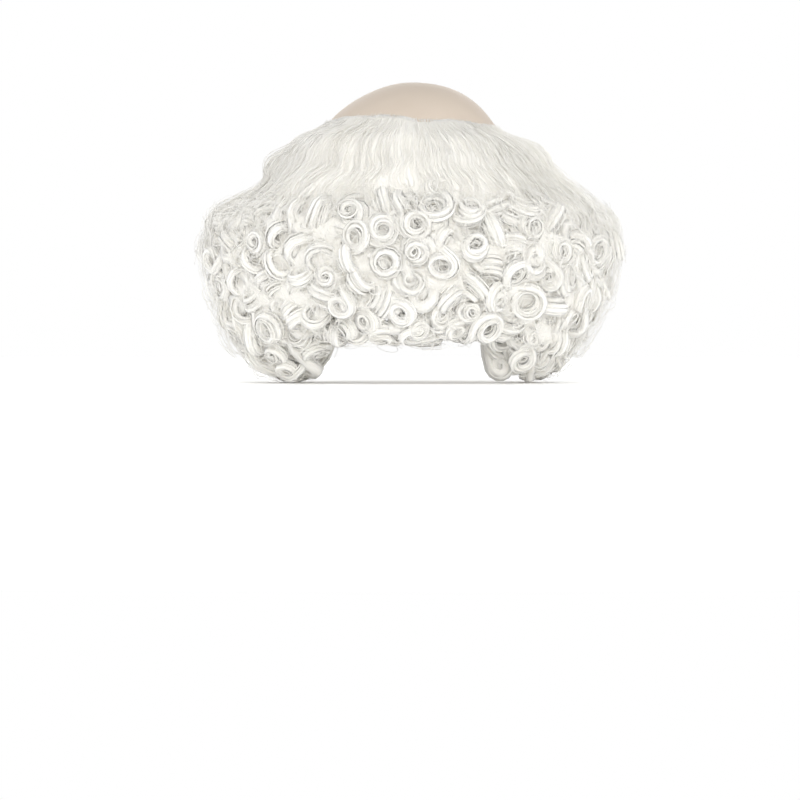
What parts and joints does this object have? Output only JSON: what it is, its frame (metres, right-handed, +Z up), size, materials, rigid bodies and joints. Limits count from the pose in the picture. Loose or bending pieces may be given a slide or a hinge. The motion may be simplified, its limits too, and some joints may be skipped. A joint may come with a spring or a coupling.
{
  "type": "costume wig",
  "caption": "Bald-crown costume wig with a horseshoe of white curled hair wefts on a net cap, tightened by hooked nape straps.",
  "frame": {"origin": "on the surface that the lowest curls rest on, under the middle of the bounding box", "axes": "+X to the wearer's right, +Y the way the wearer faces, +Z up"},
  "size_m": [0.3376, 0.2529, 0.242],
  "materials": {
    "hair": "satin synthetic fibre, curled",
    "crown": "matte moulded latex",
    "net": "stretch rose net",
    "tape": "woven elastic and ribbon",
    "hook": "moulded nylon",
    "label": "satin ribbon, blank"
  },
  "bodies": {
    "root": {"bald_crown": "crown", "forehead_band": "tape", "hairline_seam_tape": "tape", "cap_net": "net", "hem_elastic": "tape", "rib_centre": "tape", "rib_back_left": "tape", "rib_back_right": "tape", "rib_side_left": "tape", "rib_side_right": "tape", "ear_tab_left": "tape", "ear_tab_right": "tape", "temple_tape_left": "tape", "temple_tape_right": "tape", "weft_track_1": "hair", "weft_track_2": "hair", "weft_track_3": "hair", "weft_track_4": "hair", "weft_track_5": "hair", "weft_track_6": "hair", "weft_track_7": "hair", "weft_track_8": "hair", "hair_weft_1": "hair", "hair_weft_2": "hair", "hair_weft_3": "hair", "hair_weft_4": "hair", "hair_weft_5": "hair", "hair_weft_6": "hair", "hair_weft_7": "hair", "hair_weft_8": "hair", "nape_band": "tape", "loop_tape_left": "hair", "loop_tape_right": "hair", "strap_anchor_left": "tape", "strap_anchor_right": "tape", "adjuster_strap_left": "tape", "adjuster_strap_right": "tape", "care_label": "label"},
    "hook_left": {"adjuster_hook_left": "hook"},
    "hook_right": {"adjuster_hook_right": "hook"}
  },
  "joints": [
    {"name": "left_hook_slide", "type": "hinge", "parent": "root", "child": "hook_left", "pos_m": [0, 0.0254, 0.076], "axis": [0, 0, 1], "range_deg": [0, 16], "deforming": ["adjuster_strap_left"]},
    {"name": "right_hook_slide", "type": "hinge", "parent": "root", "child": "hook_right", "pos_m": [0, 0.0254, 0.076], "axis": [0, 0, -1], "range_deg": [0, 16], "deforming": ["adjuster_strap_right"]}
  ]
}
